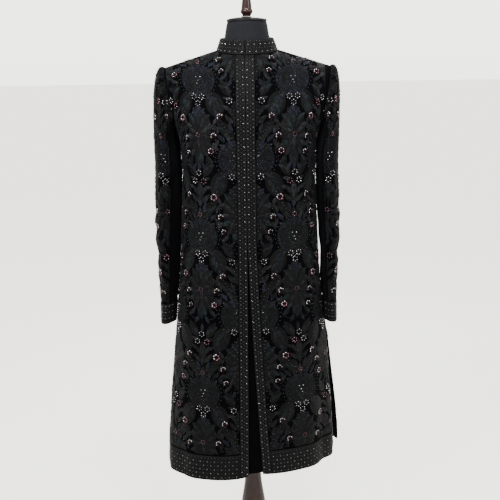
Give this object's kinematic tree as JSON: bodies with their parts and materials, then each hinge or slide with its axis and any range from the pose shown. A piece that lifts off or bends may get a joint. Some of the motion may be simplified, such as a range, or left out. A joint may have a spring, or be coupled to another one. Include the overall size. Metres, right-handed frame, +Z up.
{
  "type": "sherwani coat on dress form",
  "caption": "Knee-length embroidered sherwani coat with stand collar, parted front and side slits, worn by a limbless dress form on a turned wooden stand.",
  "frame": {"origin": "centre of the round base's underside, on the floor under the form's pole", "axes": "+Z up along the pole; -Y is the coat's front; +X is the wearer's left side, at the viewer's right"},
  "size_m": [0.4854, 0.416, 1.645],
  "materials": {
    "velvet": "black cut velvet, soft pile",
    "studded_border": "dark stitched border for rows of metal studs",
    "form_cloth": "charcoal knit cover, stretched smooth",
    "form_cap": "dark satin",
    "steel": "bright",
    "dark_wood": "dark red-brown gloss varnish"
  },
  "bodies": {
    "root": {"right_front": "velvet", "left_front": "velvet", "back": "velvet", "right_sleeve": "velvet", "left_sleeve": "velvet", "under_placket": "velvet", "collar": "studded_border", "right_placket_border": "studded_border", "left_placket_border": "studded_border", "right_front_hem_border": "studded_border", "left_front_hem_border": "studded_border", "back_hem_border": "studded_border", "right_cuff_border": "studded_border", "left_cuff_border": "studded_border", "dress_form": "form_cloth", "neck_cap": "form_cap", "washer": "steel", "finial": "dark_wood", "pole": "steel", "stand_column": "dark_wood", "stand_base": "dark_wood"}
  },
  "joints": []
}
